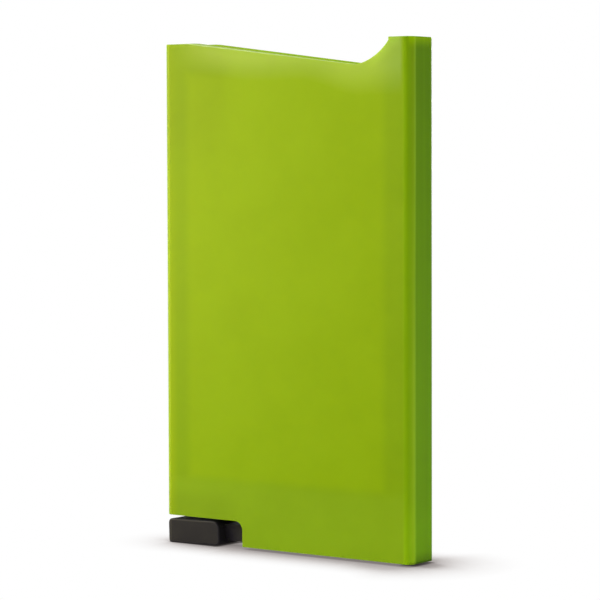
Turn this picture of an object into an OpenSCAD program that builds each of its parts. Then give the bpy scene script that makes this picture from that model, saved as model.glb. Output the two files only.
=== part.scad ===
// Pocket holder for bank cards, with shield plates in both panels and a lever that fans the cards out.
// The front faces -Y and the mouth is at the top. The origin is the middle of the base, in millimetres.

/* [Body] */
// Width of the holder
body_w = 59; // [58.5:0.5:66]
// Height of the holder
body_h = 97; // [96:0.5:110]
// Thickness of the holder, front to rear
body_t = 8; // [7.8:0.1:10]
// Radius of the four upright outer edges
edge_r = 1.6; // [0.6:0.1:2]
// Thickness of the front and rear panels
panel_t = 1.5; // [1.3:0.1:1.6]
// Thickness of the side walls, which leave the cards 0.4 mm of play on each side
side_wall_t = 2.1; // [2:0.05:2.3]
// Thickness of the floor
floor_t = 1.2; // [0.8:0.1:1.4]
// Height of the ledge that the cards stand on
ledge_z = 6.2; // [6:0.1:8]
// Width of the ledge at the right that the cards stand on
right_ledge_w = 2.3; // [1.5:0.1:3]
// How far the parting line lies behind the middle
parting_y = 0.5; // [0:0.1:0.8]

/* [Mouth] */
// Width of the level shoulder at the left of the mouth
shoulder_w = 8; // [4:0.5:12]
// How far the slope drops from the shoulder to the thumb scoop
slope_drop = 4.9; // [3:0.1:5.2]
// Width of the thumb scoop
scoop_w = 7.3; // [6:0.1:9]
// Radius of the thumb scoop's curve
scoop_r = 11.8; // [9:0.1:16]
// Width of the pillar at the right of the mouth
pillar_w = 4.9; // [4:0.1:7]
// Height of the upright lip where the scoop meets the pillar
pillar_lip = 0.6; // [0.3:0.1:1]

/* [Cards] */
// Thickness of one card
card_t = 0.76; // [0.7:0.01:0.8]
// Number of cards that the lever fans out
card_count = 5; // [3:1:5]

/* [Lever] */
// Width of the corner notch that holds the lever's foot
notch_w = 19.35; // [18:0.05:21]
// Height of the corner notch
notch_h = 4.9; // [4.8:0.1:5.2]
// Radius of the notch's inner corner
notch_r = 1.8; // [1:0.1:2.2]
// Width of the lever's foot
foot_w = 13.4; // [10:0.1:14]
// Height of the lever's foot
foot_h = 4.7; // [4:0.1:4.7]
// Corner radius at the top of the foot
foot_top_r = 1.6; // [0.5:0.1:2]
// Corner radius at the bottom of the foot
foot_base_r = 0.9; // [0.3:0.1:1.1]
// Distance from the middle of the holder to the lever's pivot
pivot_offset = 6; // [4:0.1:7]
// Height of the pivot above the base
pivot_z = 2.7; // [2.6:0.05:2.8]
// Radius of the lever's hub
hub_r = 2; // [1.8:0.05:2.05]
// Radius of the pivot pin
pin_r = 1; // [0.8:0.05:1.1]
// Length of the pivot pin
pin_l = 6.4; // [5.6:0.1:6.8]
// Height of the bar between the foot and the hub
bar_h = 3.2; // [2:0.1:3.2]
// Underside of that bar above the base, with the lever shut
bar_z = 0.8; // [0.8:0.1:1.4]
// Height of the lifting arm
arm_h = 3; // [2:0.1:3.2]
// Difference in reach from one lifting step to the next
step_l = 4.2; // [3:0.1:5]
// Swing of the lever from shut to its stop, in degrees
open_deg = 60; // [50:1:65]
// Swing at which the lever lies at rest, in degrees
rest_deg = 1.4; // [0:0.1:2]

/* [Shield] */
// Width of each shield plate
plate_w = 47; // [40:0.5:50]
// Thickness of each shield plate
plate_t = 0.3; // [0.2:0.05:0.3]
// Height of the plates' lower edge
plate_z = 12.4; // [9:0.1:20]
// Distance from the plates' upper edge to the top of the holder
plate_top_gap = 6; // [5.5:0.1:12]
// Thickness of the adhesive film behind each plate
film_t = 0.1; // [0.05:0.05:0.15]
// How far the film stays inside the plate's edge
film_inset = 1; // [0.5:0.1:3]
// Play around each plate in its pocket
plate_play = 0.1; // [0.05:0.05:0.2]

/* [Card grips] */
// Width of each grip strip, front to rear
grip_w = 3.2; // [2:0.1:3.6]
// Thickness of each grip strip
grip_t = 0.8; // [0.6:0.05:0.9]
// How far a grip strip stands into the card space
grip_proud = 0.25; // [0.1:0.05:0.3]
// Length of each grip strip
grip_l = 50; // [30:1:55]
// Height of the grip strips' lower end
grip_z = 34; // [20:1:36]

/* [Hidden] */
$fn = 96;
// Overrun of every cut past the face that it leaves
over = 1;
// Running play of the lever on its pin
bore_play = 0.06;
// Play of the pin in the shells
socket_play = 0.02;
// Gap between the hub and each boss
hub_gap = 0.1;
// Radial room around the hub
hub_room = 0.2;
// Gap that is left at the lever's two stops
stop_gap = 0.1;
// Gap between the arm's tip and the right ledge
tip_gap = 0.4;
// How far the bar runs into the foot
bar_root = 1.5;
// How much smaller a boss is than the hub
boss_step = 0.1;
// Section of the weld tongues
tongue_w = 0.5;
tongue_h = 0.6;
// Play around a tongue in its groove
tongue_play = 0.05;
// How deep the side tongues lie under the outer face
tongue_depth = 0.8;
// How far the tongues stay from the ends of their walls
tongue_end = 6;
// Height of the floor tongue's middle
floor_tongue_z = floor_t / 2;
// Colours
shell_green = "#95B51C";
lever_black = "#2E2B2B";
plate_silver = "#C6CACC";
film_cream = "#E8E2D0";
grip_grey = "#8F9694";
pin_steel = "#A9ADB1";

half_w = body_w / 2;
half_t = body_t / 2;
// Inner faces of the panels and of the side walls
inner_y = half_t - panel_t;
inner_x = half_w - side_wall_t;
// The lever is as thick as the cards that it lifts
lever_t = card_count * card_t;
// Edge of the notch and place of the pivot
notch_x = -half_w + notch_w;
pivot_x = -pivot_offset;
// Right end of the lever bay, and reach of the longest lifting step
bay_x = inner_x - right_ledge_w;
arm_l = bay_x - tip_gap - pivot_x;
// Arm heights with the lever shut
arm_z = floor_t + stop_gap;
arm_top = arm_z + arm_h;
plate_h = body_h - plate_top_gap - plate_z;
pocket_t = plate_t + film_t;
// The foot ends flush with the body's side. It hangs lowest at that corner, and stands on the ground there
foot_x = -half_w;
foot_low_x = foot_x + foot_base_r;
base_lift = foot_low_rise(foot_low_x - pivot_x, foot_base_r - pivot_z) + foot_base_r - pivot_z;
function foot_low_rise(dx, dz) = -(dx * sin(rest_deg) + dz * cos(rest_deg));

// Front to rear extrusion of an outline drawn in width and height
module through(y0, y1) {
    translate([0, y1, 0])
        rotate([90, 0, 0])
            linear_extrude(y1 - y0)
                children();
}

// Mirrors to the rear what is drawn for the front
module on_side(side) {
    mirror([0, side > 0 ? 1 : 0, 0])
        children();
}

// Lifts the whole holder, so that the lever's foot just touches the ground
module placed() {
    translate([0, 0, base_lift])
        children();
}

// Shells

// Plan of one half with its two rounded outer corners
module half_plan(depth) {
    translate([-half_w, edge_r - half_t])
        square([body_w, depth - edge_r]);
    translate([edge_r - half_w, -half_t])
        square([body_w - 2 * edge_r, depth]);
    for (side = [-1, 1])
        translate([side * (half_w - edge_r), edge_r - half_t])
            circle(edge_r);
}

// The mouth falls from the shoulder in a straight slope, then curves up to the pillar
module mouth_outline() {
    slope_end = [half_w - pillar_w - scoop_w, body_h - slope_drop];
    lip_foot = [half_w - pillar_w, body_h - pillar_lip];
    chord = lip_foot - slope_end;
    half_chord = norm(chord) / 2;
    rise = sqrt(scoop_r * scoop_r - half_chord * half_chord);
    centre = (slope_end + lip_foot) / 2 + rise * [-chord.y, chord.x] / norm(chord);
    polygon([[shoulder_w - half_w, body_h], slope_end, [slope_end.x, body_h + over],
             [shoulder_w - half_w, body_h + over]]);
    intersection() {
        translate(centre)
            circle(scoop_r);
        translate(slope_end - [0, over])
            square([scoop_w, slope_drop + 2 * over]);
    }
}

// The corner notch is open to the left and below
module notch_outline() {
    translate([-half_w - over, -over])
        square([notch_w + over, notch_h + over - notch_r]);
    translate([-half_w - over, -over])
        square([notch_w + over - notch_r, notch_h + over]);
    translate([notch_x - notch_r, notch_h - notch_r])
        circle(notch_r);
}

// Lever bay between the panels: the bar's way in, the room under the cards and the stop that ends the swing
function stop_x(z) = pivot_x + (z - pivot_z) / tan(open_deg) - (arm_top - pivot_z + stop_gap) / sin(open_deg);
module bay_outline() {
    way_x = notch_x - notch_r;
    floor_x = pivot_x + hub_r + hub_room;
    polygon([[way_x, -over], [floor_x, -over], [floor_x, floor_t], [bay_x, floor_t], [bay_x, ledge_z + over],
             [stop_x(ledge_z + over), ledge_z + over], [stop_x(notch_h), notch_h], [way_x, notch_h]]);
}

module card_well() {
    translate([-inner_x, -inner_y, ledge_z])
        cube([2 * inner_x, 2 * inner_y, body_h]);
}

module shield_pocket() {
    pocket_w = plate_w + 2 * plate_play;
    translate([-pocket_w / 2, -inner_y - pocket_t, plate_z - plate_play])
        cube([pocket_w, pocket_t + over, plate_h + 2 * plate_play]);
}

// Seats of the grip strips in the side walls
module grip_grooves() {
    groove_x = inner_x + grip_t - grip_proud;
    translate([-groove_x, -grip_w / 2, grip_z])
        cube([2 * groove_x, grip_w, grip_l]);
}

// Boss that carries one end of the pin
module pivot_boss() {
    translate([pivot_x, -inner_y - over / 2, pivot_z])
        rotate([-90, 0, 0])
            cylinder(r = hub_r - boss_step, h = inner_y - lever_t / 2 - hub_gap + over / 2);
}

module pin_socket() {
    translate([pivot_x, -pin_l / 2 - socket_play, pivot_z])
        rotate([-90, 0, 0])
            cylinder(r = pin_r + socket_play, h = pin_l);
}

// Tongues on the rear shell, which the front shell's grooves take with a little play
module tongues(play) {
    side_x = half_w - tongue_depth - tongue_w / 2;
    side_z = notch_h + tongue_end;
    for (side = [-1, 1])
        translate([side * side_x - tongue_w / 2 - play, parting_y - tongue_h - play, side_z - play])
            cube([tongue_w + 2 * play, tongue_h + play + tongue_hold(play),
                  body_h - tongue_end - side_z + 2 * play]);
    translate([pivot_x + tongue_end - play, parting_y - tongue_h - play, floor_tongue_z - tongue_w / 2 - play])
        cube([bay_x - pivot_x - tongue_end + 2 * play, tongue_h + play + tongue_hold(play),
              tongue_w + 2 * play]);
}
// A tongue roots in its own shell, and a groove runs out past the parting line
function tongue_hold(play) = play > 0 ? over : tongue_h / 2;

module shell(side) {
    difference() {
        union() {
            difference() {
                on_side(side)
                    linear_extrude(body_h)
                        half_plan(half_t - side * parting_y);
                through(-body_t, body_t)
                    mouth_outline();
                through(-body_t, body_t)
                    notch_outline();
                through(-inner_y, inner_y)
                    bay_outline();
                card_well();
                on_side(side)
                    shield_pocket();
                grip_grooves();
            }
            on_side(side)
                pivot_boss();
        }
        on_side(side)
            pin_socket();
    }
}

module front_shell() {
    color(shell_green)
        placed()
            difference() {
                shell(-1);
                tongues(tongue_play);
            }
}

module rear_shell() {
    color(shell_green)
        placed() {
            shell(1);
            tongues(0);
        }
}

// Shield plates and the films that hold them

module shield_plate(side) {
    color(plate_silver)
        placed()
            on_side(side)
                translate([-plate_w / 2, -inner_y - plate_t, plate_z])
                    cube([plate_w, plate_t, plate_h]);
}

module adhesive_film(side) {
    color(film_cream)
        placed()
            on_side(side)
                translate([film_inset - plate_w / 2, -inner_y - pocket_t, plate_z + film_inset])
                    cube([plate_w - 2 * film_inset, film_t, plate_h - 2 * film_inset]);
}

module front_shield_plate() {
    shield_plate(-1);
}

module rear_shield_plate() {
    shield_plate(1);
}

module front_adhesive_film() {
    adhesive_film(-1);
}

module rear_adhesive_film() {
    adhesive_film(1);
}

// Grip strips that hold the cards by their edges

module card_grip(side) {
    color(grip_grey)
        placed()
            mirror([side < 0 ? 1 : 0, 0, 0])
                translate([inner_x - grip_proud, -grip_w / 2, grip_z])
                    cube([grip_t, grip_w, grip_l]);
}

module left_card_grip() {
    card_grip(-1);
}

module right_card_grip() {
    card_grip(1);
}

// Lever

// Front view of the foot, with the lever shut
module foot_outline() {
    translate([foot_x, foot_base_r])
        square([foot_w, foot_h - foot_base_r - foot_top_r]);
    translate([foot_x + foot_base_r, 0])
        square([foot_w - 2 * foot_base_r, foot_h / 2]);
    translate([foot_x + foot_top_r, foot_h / 2])
        square([foot_w - 2 * foot_top_r, foot_h / 2]);
    for (x = [foot_base_r, foot_w - foot_base_r])
        translate([foot_x + x, foot_base_r])
            circle(foot_base_r);
    for (x = [foot_top_r, foot_w - foot_top_r])
        translate([foot_x + x, foot_h - foot_top_r])
            circle(foot_top_r);
}

// The foot fills the notch's outer corner and repeats the body's rounded edges in plan
module lever_foot() {
    intersection() {
        through(-half_t, half_t)
            foot_outline();
        linear_extrude(foot_h) {
            translate([foot_x + edge_r, -half_t])
                square([foot_w - edge_r, body_t]);
            translate([foot_x, edge_r - half_t])
                square([foot_w, body_t - 2 * edge_r]);
            for (side = [-1, 1])
                translate([foot_x + edge_r, side * (half_t - edge_r)])
                    circle(edge_r);
        }
    }
}

// One lifting step: it starts deeper and reaches further than the step in front of it
module lifting_step(index) {
    reach = arm_l - (card_count - 1 - index) * step_l;
    through(index * card_t - lever_t / 2, lever_t / 2) {
        translate([pivot_x, arm_z])
            square([reach - arm_h / 2, arm_h]);
        translate([pivot_x + reach - arm_h / 2, arm_z + arm_h / 2])
            circle(arm_h / 2);
    }
}

module shut_lever() {
    lever_foot();
    difference() {
        union() {
            through(-lever_t / 2, lever_t / 2) {
                translate([foot_x + foot_w - bar_root, bar_z])
                    square([pivot_x - foot_x - foot_w + bar_root, bar_h]);
                translate([pivot_x, pivot_z])
                    circle(hub_r);
            }
            for (index = [0 : card_count - 1])
                lifting_step(index);
        }
        through(-body_t, body_t)
            translate([pivot_x, pivot_z])
                circle(pin_r + bore_play);
    }
}

module eject_lever() {
    color(lever_black)
        placed()
            translate([pivot_x, 0, pivot_z])
                rotate([0, -rest_deg, 0])
                    translate([-pivot_x, 0, -pivot_z])
                        shut_lever();
}

module pivot_pin() {
    color(pin_steel)
        placed()
            translate([pivot_x, -pin_l / 2, pivot_z])
                rotate([-90, 0, 0])
                    cylinder(r = pin_r, h = pin_l);
}

front_shell();
rear_shell();
front_shield_plate();
rear_shield_plate();
front_adhesive_film();
rear_adhesive_film();
left_card_grip();
right_card_grip();
eject_lever();
pivot_pin();
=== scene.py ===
"""The looks of a pocket holder for bank cards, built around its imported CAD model.

Lengths are in metres. The front panel faces -Y and the mouth is at the top.
"""

import math

import bmesh
import bpy
from mathutils import Matrix, Vector


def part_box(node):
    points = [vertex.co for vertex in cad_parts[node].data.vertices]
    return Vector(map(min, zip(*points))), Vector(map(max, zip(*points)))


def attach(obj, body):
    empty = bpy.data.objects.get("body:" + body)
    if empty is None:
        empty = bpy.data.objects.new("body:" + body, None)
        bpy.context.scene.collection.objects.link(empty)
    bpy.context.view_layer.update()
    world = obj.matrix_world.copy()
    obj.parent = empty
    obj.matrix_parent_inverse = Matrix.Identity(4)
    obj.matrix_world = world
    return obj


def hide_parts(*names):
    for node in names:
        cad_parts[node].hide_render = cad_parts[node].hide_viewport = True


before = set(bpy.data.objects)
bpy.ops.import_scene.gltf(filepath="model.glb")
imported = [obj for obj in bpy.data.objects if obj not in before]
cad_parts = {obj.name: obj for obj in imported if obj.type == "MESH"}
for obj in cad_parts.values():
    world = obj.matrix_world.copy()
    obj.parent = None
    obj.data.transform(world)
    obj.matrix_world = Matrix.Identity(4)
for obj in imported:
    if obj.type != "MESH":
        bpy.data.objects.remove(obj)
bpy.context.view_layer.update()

MM = 0.001

# Places read from the frame
front_low, front_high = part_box("front_shell")
_, rear_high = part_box("rear_shell")
plate_low, plate_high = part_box("front_shield_plate")
base_z = front_low.z
top_z = front_high.z
half_w = front_high.x
half_t = rear_high.y
parting_y = front_high.y
inner_y = -plate_high.y
middle = Vector((0, 0, (base_z + top_z) / 2))


def span(start, end, origin=0.0):
    """Where a change starts and where it ends, given in millimetres from the origin."""
    return origin + start * MM, origin + end * MM


# Meshes

# Radii of the small roundings that the CAD model leaves out
RIM_R = 0.22 * MM
TOP_RIM_R = 0.12 * MM
LIP_R = 0.40 * MM
MOUTH_RIM_R = 0.08 * MM
SEAM_R = 0.07 * MM
FOOT_RIM_R = 0.32 * MM
LEVER_RIM_R = 0.12 * MM
PLATE_RIM_R = 0.05 * MM
GRIP_RIM_R = 0.15 * MM
RIM_STEPS = 3
ROUND_PROFILE = 0.5

# An edge sharper than SHARP is rounded, and one flatter than FLAT is dissolved
SHARP = math.radians(35)
FLAT = math.radians(0.5)
# Places nearer than TOUCH count as level with each other, and vertices nearer than SAME_SPOT are joined
TOUCH = 0.01 * MM
SAME_SPOT = TOUCH / 10
RIM_ATTRIBUTE = "rim"


def clean_copy(node):
    """A bmesh copy of a CAD node, with its vertices joined and its flat stretches as single faces."""
    bm = bmesh.new()
    bm.from_mesh(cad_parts[node].data)
    bmesh.ops.remove_doubles(bm, verts=bm.verts, dist=SAME_SPOT)
    bmesh.ops.dissolve_limit(bm, angle_limit=FLAT, verts=bm.verts, edges=bm.edges)
    bm.faces.layers.float.new(RIM_ATTRIBUTE)
    return bm


def sharp_edges(bm, wanted):
    """The convex sharp edges for which wanted(edge) is true."""
    return [
        edge
        for edge in bm.edges
        if len(edge.link_faces) == 2
        and edge.calc_face_angle_signed(0) > SHARP
        and wanted(edge)
    ]


def round_edges(bm, radius, wanted=lambda edge: True):
    """Rounds the chosen sharp edges and marks the new faces as rim."""
    made = bmesh.ops.bevel(
        bm,
        geom=sharp_edges(bm, wanted),
        offset=radius,
        offset_type="OFFSET",
        segments=RIM_STEPS,
        profile=ROUND_PROFILE,
        affect="EDGES",
        clamp_overlap=True,
    )
    rim = bm.faces.layers.float[RIM_ATTRIBUTE]
    for face in made["faces"]:
        face[rim] = 1.0


def join_collapsed(bm):
    """Joins the vertices that a rounding without room left on one spot, and drops the empty faces."""
    bmesh.ops.remove_doubles(bm, verts=bm.verts, dist=SAME_SPOT)
    bmesh.ops.dissolve_degenerate(bm, edges=bm.edges, dist=SAME_SPOT)


def finish_piece(bm, name, node, body, material):
    """Turns the bmesh into a smooth piece that stands for the CAD node and rides on its body."""
    mesh = bpy.data.meshes.new(name)
    bm.normal_update()
    bm.to_mesh(mesh)
    bm.free()
    mesh.shade_smooth()
    mesh.set_sharp_from_angle(angle=SHARP)
    piece = bpy.data.objects.new(name, mesh)
    bpy.context.scene.collection.objects.link(piece)
    normals = piece.modifiers.new("normals", "WEIGHTED_NORMAL")
    normals.keep_sharp = True
    mesh.materials.append(material)
    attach(piece, body)
    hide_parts(node)


# Materials

# Sockets of the Mix node that carry colours
MIX_FIRST = 6
MIX_SECOND = 7
MIX_RESULT = 2

# Nearly all of a noise lies in this part of its range from 0 to 1
NOISE_LOW = 0.3
NOISE_HIGH = 0.7
NOISE_MIDDLE = 0.5

OCCLUSION_SAMPLES = 16


class Nodes:
    """A few short calls for building a node tree."""

    def __init__(self, name):
        self.material = bpy.data.materials.new(name)
        self.material.use_nodes = True
        self.tree = self.material.node_tree
        self.tree.nodes.clear()
        self.output = self.tree.nodes.new("ShaderNodeOutputMaterial")

    def plug(self, socket, value):
        """Links an output to the socket, or writes a plain value on it."""
        if isinstance(value, bpy.types.NodeSocket):
            self.tree.links.new(value, socket)
        elif isinstance(value, tuple) and socket.type == "RGBA":
            socket.default_value = (*value, 1)
        else:
            socket.default_value = value

    def node(self, kind, settings=None, **inputs):
        """A new node with its settings, and its inputs plugged by name, with _ for a blank."""
        made = self.tree.nodes.new("ShaderNode" + kind)
        for key, value in (settings or {}).items():
            setattr(made, key, value)
        for key, value in inputs.items():
            self.plug(made.inputs[key.replace("_", " ")], value)
        return made

    def place(self):
        """The shaded point in the frame at rest, whole and as its X, Y and Z."""
        coordinates = self.node("TexCoord").outputs["Object"]
        return coordinates, self.node("SeparateXYZ", Vector=coordinates).outputs

    def upward(self):
        """The surface normal's Z: 1 on a level top, 0 on an upright face."""
        normal = self.node("TexCoord").outputs["Normal"]
        return self.node("SeparateXYZ", Vector=normal).outputs["Z"]

    def math(self, operation, first, second=0.0, third=0.0):
        """The result of a Math node."""
        made = self.node("Math", {"operation": operation})
        for socket, value in zip(made.inputs, (first, second, third)):
            self.plug(socket, value)
        return made.outputs[0]

    def product(self, result, *factors):
        """The first value times each of the factors in turn."""
        for factor in factors:
            result = self.math("MULTIPLY", result, factor)
        return result

    def distance(self, first, second, point):
        """How far the place (first, second) lies from the point."""
        aside = self.math("POWER", self.math("SUBTRACT", first, point[0]), 2)
        along = self.math("POWER", self.math("SUBTRACT", second, point[1]), 2)
        return self.math("SQRT", self.math("ADD", aside, along))

    def ramp(self, value, start, end, low=0.0, high=1.0):
        """A smooth step from low at start to high at end."""
        made = self.node(
            "MapRange",
            {"interpolation_type": "SMOOTHSTEP"},
            Value=value,
            From_Min=start,
            From_Max=end,
            To_Min=low,
            To_Max=high,
        )
        return made.outputs[0]

    def eased(self, share, low, high):
        """From low where the share is 0 to high where it is 1."""
        return self.ramp(share, 0.0, 1.0, low, high)

    def spread(self, noise, low, high):
        """The noise spread over the range from low to high."""
        return self.ramp(noise, NOISE_LOW, NOISE_HIGH, low, high)

    def noise(self, vector, size, detail):
        """Noise from 0 to 1 with patches of about the given size."""
        made = self.node("TexNoise", Vector=vector, Scale=1 / size, Detail=detail)
        return made.outputs[0]

    def stretched(self, vector, factors):
        """The coordinates times the factors, for noise that runs along one direction."""
        made = self.node("VectorMath", {"operation": "MULTIPLY"})
        self.plug(made.inputs[0], vector)
        self.plug(made.inputs[1], factors)
        return made.outputs[0]

    def mix(self, share, first, second):
        """The first colour where the share is 0, the second where it is 1."""
        made = self.node("Mix", {"data_type": "RGBA"})
        self.plug(made.inputs[0], share)
        self.plug(made.inputs[MIX_FIRST], first)
        self.plug(made.inputs[MIX_SECOND], second)
        return made.outputs[MIX_RESULT]

    def scaled(self, colour, factor):
        """The colour made lighter or darker by the factor."""
        made = self.node("VectorMath", {"operation": "SCALE"})
        self.plug(made.inputs[0], colour)
        self.plug(made.inputs["Scale"], factor)
        return made.outputs[0]

    def bump(self, relief, height, normal=None):
        """A normal that shows a relief of the given height, on top of another normal if there is one."""
        made = self.node("Bump", Height=relief, Distance=height, Strength=1.0)
        if normal is not None:
            self.plug(made.inputs["Normal"], normal)
        return made.outputs[0]

    def rim(self):
        """1 on the rounded rims, 0 elsewhere."""
        return self.node("Attribute", {"attribute_name": RIM_ATTRIBUTE}).outputs["Fac"]

    def openness(self, reach):
        """1 where nothing stands within reach of the surface, and less the more of its sky is hidden."""
        made = self.node("AmbientOcclusion", {"samples": OCCLUSION_SAMPLES}, Distance=reach)
        return made.outputs["AO"]

    def surface(self, **inputs):
        """The principled shader with the given inputs, as the material's surface."""
        shader = self.node("BsdfPrincipled", **inputs)
        self.tree.links.new(shader.outputs[0], self.output.inputs["Surface"])
        return self.material


# Lime plastic: the colours of the panels, some of them painted light
OVER_PLATE = (0.246, 0.386, 0.001)
BESIDE_PLATE = (0.213, 0.348, 0.002)
BELOW_PLATE = (0.228, 0.370, 0.006)
PAINTED_LIGHT_ABOVE_PLATE = (0.332, 0.470, 0.048)
PAINTED_LIGHT_ABOVE_RIGHT = (0.350, 0.492, 0.045)
PAINTED_LIGHT_ABOVE_PILLAR = (0.256, 0.395, 0.043)
PAINTED_LEFT_LIGHT = (0.310, 0.425, 0.002)
OVER_WALL = (0.255, 0.435, 0.004)

# Lime plastic: the colours of the sides, the rims and the mouth, most of them painted light and shade
SIDE_WALL = (0.130, 0.283, 0.003)
PAINTED_LIGHT_BAND = (0.257, 0.452, 0.009)
PAINTED_HIGHLIGHT_LINE = (0.255, 0.425, 0.010)
PAINTED_SHADE_REAR_EDGE = (0.095, 0.215, 0.001)
PAINTED_LIGHT_TOP_OF_BAND = (0.400, 0.660, 0.001)
PAINTED_LIGHT_TOP_OF_SIDE = (0.280, 0.500, 0.001)
PAINTED_LIGHT_THROUGH = (0.330, 0.540, 0.020)
PAINTED_RIM_LIGHT = (0.360, 0.540, 0.004)
PAINTED_LIP_HIGHLIGHT = (0.350, 0.500, 0.120)
REFLECTION_TINT = (1.0, 0.92, 0.05)

# Lime plastic: where one colour of the panels passes into the next
PLATE_SOFT = 1.5 * MM
PAINTED_LEFT_LIGHT_X = span(3.6, 0.4, -half_w)
PAINTED_LEFT_LIGHT_SHARE = (1.0, 0.4)
WALL_X = span(-1.9, -1.0, half_w)
ABOVE_RIGHT_X = span(-5, 20)
ABOVE_PILLAR_X = span(20, 27.5)

# Lime plastic: the painted light above the plate, which drops and grows towards the right
PALE_LEFT_X = span(-24, -6)
PALE_FOOT_Z = span(-5.8, -7.6, top_z)
PALE_RIGHT_X = span(4, 18)
PALE_DROP = span(0, 3.1)
PALE_HEIGHT = span(4.4, 5.6)
PALE_FROM_X = (-half_w, plate_low.x + 9 * MM)
PALE_TO_X = span(-1.5, -2.4, half_w)

# Lime plastic: the sides, by the depth behind the front panel's face
SIDE_X = span(-1.3, -0.2, half_w)
BAND_DEPTH = span(0.1, 0.5)
LINE_FROM_DEPTH = span(0.6, 0.9)
LINE_TO_DEPTH = span(1.5, 1.1)
SIDE_Z = span(45, 80)
SIDE_FROM_DEPTH = span(1.1, 1.5)
SIDE_FULL_DEPTH = 2.1 * MM
REAR_EDGE_DEPTH = span(6.7, 7.4)

# Lime plastic: the mouth and its rims
TOP_Z = span(-9, -6, top_z)
INSIDE_Y = span(0.3, 0, inner_y)
INSIDE_X = span(-1.5, -2, half_w)
LIP_ZONE_X = span(-11, -13, half_w)
LIP_ZONE_UPWARD = (0.0, 0.3)
LEVEL_UPWARD = (0.9, 0.985)
PAINTED_RIM_SHARE = 0.6
EDGE_LIGHT_Z = span(-2.8, 0, top_z)
EDGE_LIGHT_POWER = 1.5

# Lime plastic: painted light and shade, at places that are made lighter or darker
UPPER_LEFT_X = span(-9, -18)
UPPER_LEFT_Z = span(65, 88)
LOWER_LEFT_X = span(-9, -16)
LOWER_LEFT_Z = span(13, 7)
PAINTED_LEFT_SHADE = 0.9
LOW_END_X = span(-2, -1, half_w)
LOW_END_Z = span(16, 5)
PAINTED_LOW_END_LIGHT = 1.13
SCOOP_CENTRE = (15.36 * MM, 104.29 * MM)
SCOOP_RADIUS = 11.8 * MM
PAINTED_SCOOP_LIGHT_SPAN = span(2.4, 0)
SCOOP_RIGHT_X = span(19, 22.5)
PILLAR_X = span(23, 24)
PILLAR_TOP_Z = span(-2.6, -0.6, top_z)
MOUTH_EDGE_X = span(-1.5, -3, half_w)
PAINTED_MOUTH_LIGHT_GAIN = 0.2
BASE_SHADE_Z = span(2.5, 0, base_z)
BASE_SHADE = 0.3
BASE_LINE_Z = span(0.45, 0.2, base_z)
BASE_LINE_SHADE = 0.35

# Lime plastic: its texture and gloss
STREAKS_UP_WALL = (1, 1, 0.01)
STREAK_SHARE = 0.25
PANEL_GLOSS = 0.12
WALL_GLOSS = 0.05
LIP_COAT = 0.2


def painted_light_above_share(n, x, z):
    """How much painted light lies on the panel above the plate."""
    foot = n.ramp(x, *PALE_LEFT_X, *PALE_FOOT_Z)
    drop = n.ramp(x, *PALE_RIGHT_X, *PALE_DROP)
    height = n.ramp(x, *PALE_RIGHT_X, *PALE_HEIGHT)
    into = n.math("SUBTRACT", z, n.math("SUBTRACT", foot, drop))
    pale = n.math("MINIMUM", n.math("MAXIMUM", n.math("DIVIDE", into, height), 0.0), 1.0)
    return n.product(pale, n.ramp(x, *PALE_FROM_X), n.ramp(x, *PALE_TO_X))


def panel_colour(n, x, z):
    """The colour of the panels: lighter over the plate, with painted light above it and along the left
    edge.
    """
    half_plate = (plate_high - plate_low) / 2
    plate_middle = (plate_high + plate_low) / 2
    past_side = n.math("SUBTRACT", n.math("ABSOLUTE", x), half_plate.x)
    past_end = n.math("ABSOLUTE", n.math("SUBTRACT", z, plate_middle.z))
    past_end = n.math("SUBTRACT", past_end, half_plate.z)
    over_plate = n.ramp(n.math("MAXIMUM", past_side, past_end), PLATE_SOFT, -PLATE_SOFT)
    below = n.ramp(z, plate_low.z + PLATE_SOFT, plate_low.z - PLATE_SOFT)
    # Painted light: the panel above the plate is made pale
    painted_light_above = n.mix(n.ramp(x, *ABOVE_RIGHT_X), PAINTED_LIGHT_ABOVE_PLATE, PAINTED_LIGHT_ABOVE_RIGHT)
    painted_light_above = n.mix(n.ramp(x, *ABOVE_PILLAR_X), painted_light_above, PAINTED_LIGHT_ABOVE_PILLAR)
    # Painted light along the left edge, where the lamp at the left lights its rounding
    painted_left_light = n.product(n.ramp(x, *PAINTED_LEFT_LIGHT_X), n.ramp(z, base_z, top_z, *PAINTED_LEFT_LIGHT_SHARE))
    colour = n.mix(over_plate, BESIDE_PLATE, OVER_PLATE)
    colour = n.mix(below, colour, BELOW_PLATE)
    colour = n.mix(painted_light_above_share(n, x, z), colour, painted_light_above)
    colour = n.mix(painted_left_light, colour, PAINTED_LEFT_LIGHT)
    return n.mix(n.ramp(x, *WALL_X), colour, OVER_WALL)


def side_shares(n, x, y, z):
    """The shares of the painted light band at the front corner, the painted highlight line in it, the
    side wall and its rear edge with painted shade.
    """
    at_side = n.ramp(n.math("ABSOLUTE", x), *SIDE_X)
    depth = n.math("ADD", y, half_t)
    band = n.product(at_side, n.ramp(depth, *BAND_DEPTH))
    line = n.product(n.ramp(depth, *LINE_FROM_DEPTH), n.ramp(depth, *LINE_TO_DEPTH))
    line = n.product(at_side, line)
    wall_from = n.ramp(z, *SIDE_Z, *SIDE_FROM_DEPTH)
    wall = n.product(at_side, n.ramp(depth, wall_from, SIDE_FULL_DEPTH))
    rear_edge = n.product(at_side, n.ramp(depth, *REAR_EDGE_DEPTH))
    return band, line, wall, rear_edge


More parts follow.
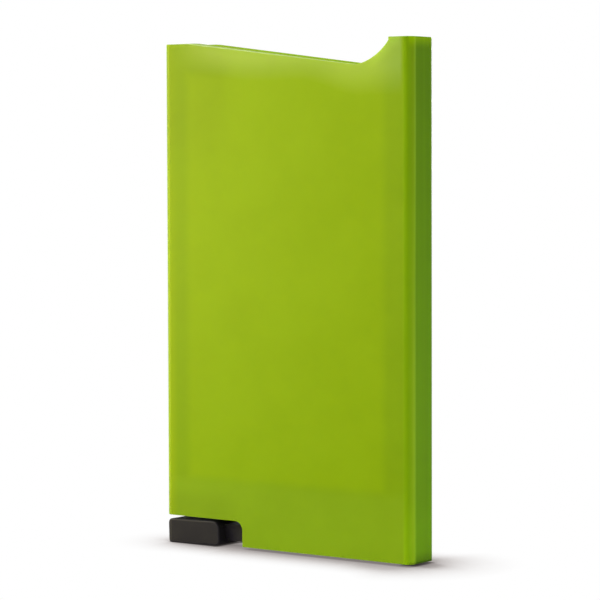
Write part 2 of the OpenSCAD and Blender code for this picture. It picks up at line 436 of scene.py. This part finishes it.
def painted_light_and_shade_factor(n, x, z):
    """Painted shade and light: a factor below 1 that darkens the panels' left corners, above 1 that
    lightens the wall's low end, scoop and pillar.
    """
    upper_left = n.product(n.ramp(x, *UPPER_LEFT_X), n.ramp(z, *UPPER_LEFT_Z))
    lower_left = n.product(n.ramp(x, *LOWER_LEFT_X), n.ramp(z, *LOWER_LEFT_Z))
    low_end = n.product(n.ramp(x, *LOW_END_X), n.ramp(z, *LOW_END_Z))
    from_scoop = n.math("SUBTRACT", n.distance(x, z, SCOOP_CENTRE), SCOOP_RADIUS)
    at_scoop = n.product(n.ramp(from_scoop, *PAINTED_SCOOP_LIGHT_SPAN), n.ramp(x, *SCOOP_RIGHT_X))
    pillar_top = n.product(n.ramp(z, *PILLAR_TOP_Z), n.ramp(x, *PILLAR_X))
    painted_mouth_light = n.math(
        "MAXIMUM",
        n.product(at_scoop, PAINTED_MOUTH_LIGHT_GAIN),
        n.product(pillar_top, PAINTED_MOUTH_LIGHT_GAIN),
    )
    painted_mouth_light = n.product(painted_mouth_light, n.ramp(x, *MOUTH_EDGE_X))
    return n.product(
        n.eased(upper_left, 1.0, PAINTED_LEFT_SHADE),
        n.eased(lower_left, 1.0, PAINTED_LEFT_SHADE),
        n.eased(low_end, 1.0, PAINTED_LOW_END_LIGHT),
        n.math("ADD", 1.0, painted_mouth_light),
    )


def lime_plastic():
    """Translucent satin plastic: the plate behind a panel makes it lighter, a thick wall deeper, and
    light and shade are painted into its colour in many places.
    """
    n = Nodes("lime_plastic")
    place, (x, y, z) = n.place()
    band, line, wall, rear_edge = side_shares(n, x, y, z)
    at_top = n.ramp(z, *TOP_Z)
    in_mouth = n.product(
        n.ramp(n.math("ABSOLUTE", y), *INSIDE_Y),
        n.ramp(n.math("ABSOLUTE", x), *INSIDE_X),
        at_top,
    )
    colour = panel_colour(n, x, z)
    # Painted light in the band at the sides' front corner, and a painted highlight line in it
    colour = n.mix(band, colour, PAINTED_LIGHT_BAND)
    colour = n.mix(line, colour, PAINTED_HIGHLIGHT_LINE)
    colour = n.mix(wall, colour, SIDE_WALL)
    # Painted shade along the rear edge of the side
    colour = n.mix(rear_edge, colour, PAINTED_SHADE_REAR_EDGE)
    # Painted light on the mouth's inner faces, as if lit through the thin wall
    colour = n.mix(in_mouth, colour, PAINTED_LIGHT_THROUGH)

    # Painted light on the rims, apart from those at the top, where the slope's rims get a coat and a
    # painted highlight instead
    upward = n.upward()
    lip_zone = n.product(n.ramp(x, *LIP_ZONE_X), n.ramp(upward, *LIP_ZONE_UPWARD), at_top)
    lip = n.product(n.rim(), lip_zone)
    rim_light_share = n.product(n.rim(), n.eased(at_top, PAINTED_RIM_SHARE, 0.0))
    colour = n.mix(rim_light_share, colour, PAINTED_RIM_LIGHT)
    # Painted highlight on the slope's lip, which also gets a real coat
    colour = n.mix(lip, colour, PAINTED_LIP_HIGHLIGHT)
    # Painted light at the top of the corner band and of the side
    painted_top_light = n.product(n.math("POWER", n.ramp(z, *EDGE_LIGHT_Z), EDGE_LIGHT_POWER), band)
    colour = n.mix(painted_top_light, colour, n.mix(wall, PAINTED_LIGHT_TOP_OF_BAND, PAINTED_LIGHT_TOP_OF_SIDE))

    # Painted shade at the panels' left corners, painted light at the wall's low end, scoop and pillar
    colour = n.scaled(colour, painted_light_and_shade_factor(n, x, z))
    wall_shade = n.product(n.ramp(z, *BASE_SHADE_Z), BASE_SHADE, wall)
    band_shade = n.product(n.ramp(z, *BASE_LINE_Z), BASE_LINE_SHADE, band)
    colour = n.scaled(colour, n.math("SUBTRACT", 1.0, n.math("ADD", wall_shade, band_shade)))
    streaks = n.noise(n.stretched(place, STREAKS_UP_WALL), size=0.9 * MM, detail=2)
    streaks = n.product(n.math("SUBTRACT", streaks, NOISE_MIDDLE), n.product(wall, STREAK_SHARE))
    colour = n.scaled(colour, n.math("ADD", 1.0, streaks))
    clouds = n.noise(place, size=9 * MM, detail=3)
    colour = n.scaled(colour, n.spread(clouds, low=0.98, high=1.02))

    # A level top has no gloss, because a lamp that grazes it would burn it out to white
    gloss = n.eased(wall, PANEL_GLOSS, WALL_GLOSS)
    gloss = n.product(gloss, n.ramp(upward, *LEVEL_UPWARD, 1.0, 0.0))
    normal = n.bump(n.noise(place, size=14 * MM, detail=1), height=0.03 * MM)
    normal = n.bump(n.noise(place, size=0.12 * MM, detail=3), height=0.002 * MM, normal=normal)
    return n.surface(
        Base_Color=colour,
        Roughness=n.spread(clouds, low=0.36, high=0.42),
        Specular_IOR_Level=gloss,
        Specular_Tint=REFLECTION_TINT,
        Coat_Weight=n.product(lip, LIP_COAT),
        Coat_Roughness=0.3,
        Subsurface_Weight=0.6,
        Subsurface_Radius=(0.8, 1.0, 0.3),
        Subsurface_Scale=0.5 * MM,
        Normal=normal,
    )


BLACK = (0.0178, 0.0150, 0.0190)
WORN_BLACK = (0.028, 0.025, 0.028)
WORN_CLOUDS = (0.3, 0.6)
WORN_SHARE = (0.4, 1.0)
WORN_SMOOTHER = 0.1


def black_plastic():
    """The lever: near-black moulding with a fine spark texture, a little paler on its rubbed rims."""
    n = Nodes("black_plastic")
    place, _ = n.place()
    clouds = n.noise(place, size=2.5 * MM, detail=3)
    wear = n.product(n.rim(), n.ramp(clouds, *WORN_CLOUDS, *WORN_SHARE))
    grain = n.noise(place, size=0.09 * MM, detail=3)
    roughness = n.spread(clouds, low=0.54, high=0.64)
    return n.surface(
        Base_Color=n.mix(wear, BLACK, WORN_BLACK),
        Roughness=n.math("SUBTRACT", roughness, n.product(wear, WORN_SMOOTHER)),
        Specular_IOR_Level=0.05,
        Normal=n.bump(grain, height=0.012 * MM),
    )


ALUMINIUM_DARK = (0.58, 0.60, 0.61)
ALUMINIUM_LIGHT = (0.68, 0.70, 0.71)
MARKS_UP_SHEET = (1, 1, 0.02)


def rolled_aluminium():
    """The shield plates: fine rolling marks that run up the sheet, which scatter part of the light."""
    n = Nodes("rolled_aluminium")
    place, _ = n.place()
    marks = n.noise(n.stretched(place, MARKS_UP_SHEET), size=0.12 * MM, detail=4)
    clouds = n.noise(place, size=6 * MM, detail=2)
    colour = n.mix(marks, ALUMINIUM_DARK, ALUMINIUM_LIGHT)
    return n.surface(
        Base_Color=n.scaled(colour, n.spread(clouds, low=0.94, high=1.0)),
        Metallic=0.6,
        Roughness=n.spread(marks, low=0.46, high=0.58),
        Anisotropic=0.4,
        Normal=n.bump(marks, height=0.004 * MM),
    )


FILM_DARK = (0.70, 0.66, 0.54)
FILM_LIGHT = (0.82, 0.78, 0.66)
FIBRES_UP_FILM = (1, 1, 0.15)


def tape_film():
    """The adhesive films: cream carrier with short fibres in it."""
    n = Nodes("tape_film")
    place, _ = n.place()
    fibres = n.noise(n.stretched(place, FIBRES_UP_FILM), size=0.4 * MM, detail=4)
    clouds = n.noise(place, size=5 * MM, detail=2)
    colour = n.mix(fibres, FILM_DARK, FILM_LIGHT)
    return n.surface(
        Base_Color=n.scaled(colour, n.spread(clouds, low=0.93, high=1.0)),
        Roughness=n.spread(fibres, low=0.55, high=0.7),
        Normal=n.bump(fibres, height=0.01 * MM),
    )


SILICONE_DARK = (0.22, 0.25, 0.24)
SILICONE_LIGHT = (0.31, 0.34, 0.33)
STREAKS_UP_GRIP = (1, 1, 0.1)


def grey_silicone():
    """The card grips: soft grey silicone with streaks up the strip, where the cards rub."""
    n = Nodes("grey_silicone")
    place, _ = n.place()
    rub = n.noise(n.stretched(place, STREAKS_UP_GRIP), size=0.8 * MM, detail=3)
    grain = n.noise(place, size=0.15 * MM, detail=2)
    return n.surface(
        Base_Color=n.mix(rub, SILICONE_DARK, SILICONE_LIGHT),
        Roughness=n.spread(rub, low=0.5, high=0.72),
        Sheen_Weight=0.2,
        Sheen_Roughness=0.5,
        Normal=n.bump(grain, height=0.01 * MM),
    )


STEEL_DARK = (0.34, 0.36, 0.38)
STEEL_LIGHT = (0.46, 0.48, 0.50)
RINGS_ROUND_PIN = (0.05, 1, 0.05)


def ground_steel():
    """The pivot pin: steel with fine grinding rings round its axis."""
    n = Nodes("ground_steel")
    place, _ = n.place()
    rings = n.noise(n.stretched(place, RINGS_ROUND_PIN), size=0.06 * MM, detail=3)
    return n.surface(
        Base_Color=n.mix(rings, STEEL_DARK, STEEL_LIGHT),
        Metallic=1.0,
        Roughness=n.spread(rings, low=0.22, high=0.34),
        Normal=n.bump(rings, height=0.002 * MM),
    )


# Pieces

# The mouth's slope and the corner notch lie within this distance of the holder's ends
END_ZONE = 6 * MM
CORNER_ZONE = 2 * MM
# A face is upright when its normal's Z is no larger than this
UPRIGHT_NORMAL_Z = 0.1
# The slope's edge falls by more than this from left to right
SLOPE_FALL = 1 * MM
# Further than this from the middle plane, the lever is only foot
FOOT_Y = half_t - 2.05 * MM


def spans(edge, axis, value):
    """Whether both ends of the edge lie at that value of the axis, to within a hair."""
    return all(abs(vertex.co[axis] - value) < TOUCH for vertex in edge.verts)


def on_skin(face):
    """Whether the face belongs to the outside of the closed holder: panels, sides, top, mouth, base."""
    centre = face.calc_center_median()
    normal = face.normal
    if abs(normal.z) > UPRIGHT_NORMAL_Z:
        return centre.z > top_z - END_ZONE or centre.z < base_z + END_ZONE
    return normal.x * centre.x + normal.y * centre.y > 0 and (
        abs(centre.y) > half_t - CORNER_ZONE and abs(centre.x) > half_w - CORNER_ZONE
        or abs(centre.y) > half_t - TOUCH
        or abs(centre.x) > half_w - TOUCH
    )


def on_outer_rim(edge):
    """Edges between two outside faces, apart from those at the parting line."""
    return all(on_skin(face) for face in edge.link_faces) and not spans(edge, 1, parting_y)


def at_parting_line(edge):
    """Outside edges of the two mating faces."""
    return spans(edge, 1, parting_y) and any(on_skin(face) for face in edge.link_faces)


def at_mouth(edge):
    """Edges of the panels and walls along the mouth."""
    return all(vertex.co.z > top_z - END_ZONE for vertex in edge.verts)


def on_front_lip(edge):
    """The outer edge of the front panel's slope, from the shoulder down to the thumb scoop."""
    left, right = sorted(edge.verts, key=lambda vertex: vertex.co.x)
    fall = left.co.z - right.co.z
    return spans(edge, 1, -half_t) and at_mouth(edge) and fall > SLOPE_FALL


def on_foot(edge):
    """Edges of the lever's foot."""
    return any(abs(vertex.co.y) > FOOT_Y for vertex in edge.verts)


def shell_piece(node, material):
    """A shell with its lip, rims, seam and mouth edges rounded."""
    bm = clean_copy(node)
    round_edges(bm, LIP_R, on_front_lip)
    round_edges(bm, TOP_RIM_R, lambda edge: on_outer_rim(edge) and at_mouth(edge))
    round_edges(bm, RIM_R, on_outer_rim)
    round_edges(bm, SEAM_R, at_parting_line)
    round_edges(bm, MOUTH_RIM_R, at_mouth)
    join_collapsed(bm)
    finish_piece(bm, node + "_moulding", node, "housing", material)


def lever_piece(material):
    """The lever, rounded more on its foot than elsewhere."""
    bm = clean_copy("eject_lever")
    round_edges(bm, FOOT_RIM_R, on_foot)
    round_edges(bm, LEVER_RIM_R)
    finish_piece(bm, "eject_lever_moulding", "eject_lever", "lever", material)


def small_piece(node, suffix, radius, material):
    """A piece of the housing with all its sharp edges rounded alike."""
    bm = clean_copy(node)
    round_edges(bm, radius)
    finish_piece(bm, node + suffix, node, "housing", material)


lime = lime_plastic()
shell_piece("front_shell", lime)
shell_piece("rear_shell", lime)
lever_piece(black_plastic())
aluminium = rolled_aluminium()
film = tape_film()
silicone = grey_silicone()
for side in ("front", "rear"):
    small_piece(side + "_shield_plate", "_sheet", PLATE_RIM_R, aluminium)
    film_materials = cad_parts[side + "_adhesive_film"].data.materials
    film_materials.clear()
    film_materials.append(film)
for side in ("left", "right"):
    small_piece(side + "_card_grip", "_strip", GRIP_RIM_R, silicone)
small_piece("pivot_pin", "_ground", PLATE_RIM_R, ground_steel())


# Camera

CAMERA_AZIMUTH = math.radians(37.601)
CAMERA_ELEVATION = math.radians(3.004)
CAMERA_ROLL = math.radians(-0.173)
CAMERA_DISTANCE = 519.74 * MM
CAMERA_ASIDE = 0.763 * MM
CAMERA_DROP = 0.707 * MM
LENS_MM = 163.56


def direction(azimuth, elevation):
    """The unit vector from the object towards an azimuth and elevation; azimuth 0 is the front."""
    level = math.cos(elevation)
    return Vector((math.sin(azimuth) * level, -math.cos(azimuth) * level, math.sin(elevation)))


def make_camera():
    """The camera that took the photo, as solved from the edges in it."""
    back = direction(CAMERA_AZIMUTH, CAMERA_ELEVATION)
    level = Vector((math.cos(CAMERA_AZIMUTH), math.sin(CAMERA_AZIMUTH), 0))
    upright = back.cross(level)
    right = math.cos(CAMERA_ROLL) * level + math.sin(CAMERA_ROLL) * upright
    up = math.cos(CAMERA_ROLL) * upright - math.sin(CAMERA_ROLL) * level
    spot = middle + back * CAMERA_DISTANCE + right * CAMERA_ASIDE - up * CAMERA_DROP
    camera = bpy.data.objects.new("camera", bpy.data.cameras.new("camera"))
    camera.data.lens = LENS_MM
    camera.matrix_world = Matrix.Translation(spot) @ Matrix((right, up, back)).transposed().to_4x4()
    bpy.context.scene.collection.objects.link(camera)
    bpy.context.scene.camera = camera


make_camera()


# Light and stage

WHITE = (1, 1, 1)
AMBIENT = 0.40
PANEL_COLOUR = (1.0, 0.93, 0.35)
FLOOR_HALF = 3.0
FLOOR_COLOUR = (0.8, 0.8, 0.8)
SHADOW_TINT = (1.06, 0.93, 0.89)

# Contact shadow: it reaches further and is stronger at the right end
CONTACT_REACH = 13 * MM
RIGHT_REACH = 18 * MM
RIGHT_REACH_X = span(-6, 2, half_w)
CONTACT_STRENGTH = 1.75
RIGHT_STRENGTH = 4.0
RIGHT_STRENGTH_X = span(-13, 1, half_w)
FOOT_X = span(-12, -14)
FOOT_STRENGTH = 0.25
CONTACT_POWER = (1.4, 1.6)

# Contact shadow: how light it stays in front of the object, and close to the object's ends
FRONT_SHADE = 0.195
FRONT_SLOPE = 0.42
CLOSE_SHADE = 0.02
CLOSE_SLOPE = 0.5
CLOSE_LEFT_X = span(-16, -17.4)
CLOSE_LEFT_Y = span(-11, -5.5)
CLOSE_RIGHT_X = span(25.2, 26)
CLOSE_RIGHT_Y = span(-3, -1)
SHADE_SOFT = 0.05

# Painted shadow: a dark strip on the floor behind the object
BEHIND_SHADE = 0.3
BEHIND_X = span(-17, 20)
BEHIND_END_Y = span(7, 5.2)
BEHIND_SOFT = 1.4 * MM
BEHIND_START_Y = span(3, 3.8)
BEHIND_SIDE_X = span(30.5, 28)
# Less than the notch's height, so that the strip under the notch goes when the foot swings away
NEAR_REACH = 5 * MM
NEAR_OPENNESS = (0.96, 0.86)


def seen_directly(tree):
    """1 for camera, glossy and transmission rays, which see the white background."""
    paths = tree.nodes.new("ShaderNodeLightPath").outputs
    seen = paths["Is Camera Ray"]
    for name in ("Is Glossy Ray", "Is Transmission Ray"):
        larger = tree.nodes.new("ShaderNodeMath")
        larger.operation = "MAXIMUM"
        tree.links.new(seen, larger.inputs[0])
        tree.links.new(paths[name], larger.inputs[1])
        seen = larger.outputs[0]
    return seen


def make_world():
    """A world that looks white and lights the object less than white would."""
    world = bpy.data.worlds.new("studio")
    bpy.context.scene.world = world
    world.use_nodes = True
    tree = world.node_tree
    background = tree.nodes["Background"]
    background.inputs["Color"].default_value = (*WHITE, 1)
    strength = tree.nodes.new("ShaderNodeMapRange")
    strength.inputs["To Min"].default_value = AMBIENT
    strength.inputs["To Max"].default_value = 1.0
    tree.links.new(seen_directly(tree), strength.inputs["Value"])
    tree.links.new(strength.outputs[0], background.inputs["Strength"])


def contact_shade(n, x, y):
    """How light the floor is: 1 in the open, and nearly 0 where the object all but touches it."""
    at_foot = n.ramp(x, *FOOT_X)
    openness = n.openness(n.ramp(x, *RIGHT_REACH_X, CONTACT_REACH, RIGHT_REACH))
    strength = n.ramp(x, *RIGHT_STRENGTH_X, CONTACT_STRENGTH, RIGHT_STRENGTH)
    strength = n.math("ADD", strength, n.product(at_foot, FOOT_STRENGTH))
    covered = n.math("POWER", n.math("SUBTRACT", 1.0, openness), n.eased(at_foot, *CONTACT_POWER))
    shade = n.math("SUBTRACT", 1.0, n.product(covered, strength))
    close_left = n.product(n.ramp(x, *CLOSE_LEFT_X), n.ramp(y, *CLOSE_LEFT_Y))
    close_right = n.product(n.ramp(x, *CLOSE_RIGHT_X), n.ramp(y, *CLOSE_RIGHT_Y))
    close = n.math("MAXIMUM", close_left, close_right)
    front_least = n.math("ADD", n.product(openness, FRONT_SLOPE), FRONT_SHADE)
    close_least = n.math("ADD", n.product(openness, CLOSE_SLOPE), CLOSE_SHADE)
    least = n.math(
        "ADD",
        n.product(n.math("SUBTRACT", 1.0, close), front_least),
        n.product(close, close_least),
    )
    return n.math("SMOOTH_MAX", shade, least, SHADE_SOFT)


def behind_share(n, x, y):
    """The share of the dark strip behind the object, only where something stands near the floor."""
    end = n.ramp(x, *BEHIND_X, *BEHIND_END_Y)
    return n.product(
        n.ramp(y, end, n.math("SUBTRACT", end, BEHIND_SOFT)),
        n.ramp(y, *BEHIND_START_Y),
        n.ramp(n.math("ABSOLUTE", x), *BEHIND_SIDE_X),
        n.ramp(n.openness(NEAR_REACH), *NEAR_OPENNESS),
    )


def floor_material():
    """A soft grey shadow where the object stands close to the floor, seen against the white all round.

    The camera sees through the rest, so that the foot, which swings below the floor, still shows.
    """
    n = Nodes("white_floor")
    _, (x, y, _) = n.place()
    shade = n.product(contact_shade(n, x, y), n.eased(behind_share(n, x, y), 1.0, BEHIND_SHADE))
    tinted = n.scaled(n.mix(shade, SHADOW_TINT, WHITE), shade)
    shown = n.node("BsdfTransparent", Color=tinted)
    lit = n.node("BsdfDiffuse", Color=FLOOR_COLOUR)
    either = n.node("MixShader")
    for socket, value in zip(either.inputs, (seen_directly(n.tree), lit.outputs[0], shown.outputs[0])):
        n.plug(socket, value)
    n.tree.links.new(either.outputs[0], n.output.inputs["Surface"])
    return n.material


def make_floor():
    """A square floor under the object."""
    mesh = bpy.data.meshes.new("floor")
    signs = ((-1, -1), (1, -1), (1, 1), (-1, 1))
    corners = [(side * FLOOR_HALF, depth * FLOOR_HALF, 0) for side, depth in signs]
    mesh.from_pydata(corners, [], [(0, 1, 2, 3)])
    mesh.materials.append(floor_material())
    floor = bpy.data.objects.new("floor", mesh)
    bpy.context.scene.collection.objects.link(floor)


def soft_light(name, azimuth, elevation, distance, width, height, watts):
    """A rectangular lamp that faces the object's middle."""
    light = bpy.data.lights.new(name, "AREA")
    light.shape = "RECTANGLE"
    light.size = width
    light.size_y = height
    light.energy = watts
    lamp = bpy.data.objects.new(name, light)
    back = direction(math.radians(azimuth), math.radians(elevation))
    lamp.location = middle + back * distance
    lamp.rotation_euler = back.to_track_quat("Z", "Y").to_euler()
    bpy.context.scene.collection.objects.link(lamp)
    return lamp


def gloss_panel(name, **values):
    """A faintly yellow panel that lights nothing and shows only as a reflection."""
    panel = soft_light(name, **values)
    panel.data.color = PANEL_COLOUR
    panel.visible_diffuse = False


make_world()
make_floor()
soft_light("key", azimuth=-50, elevation=34, distance=0.72, width=0.42, height=0.42, watts=5.1)
soft_light("low_right", azimuth=105, elevation=-12, distance=0.12, width=0.06, height=0.03, watts=0.027)
soft_light("rear", azimuth=205, elevation=8, distance=0.72, width=0.2, height=0.2, watts=2.0)
gloss_panel("left_panel", azimuth=-56, elevation=2, distance=0.35, width=0.12, height=0.38, watts=3.8)
gloss_panel("far_left_panel", azimuth=-90, elevation=-6, distance=0.5, width=0.3, height=0.3, watts=0.6)

bpy.context.scene.view_settings.view_transform = "Standard"
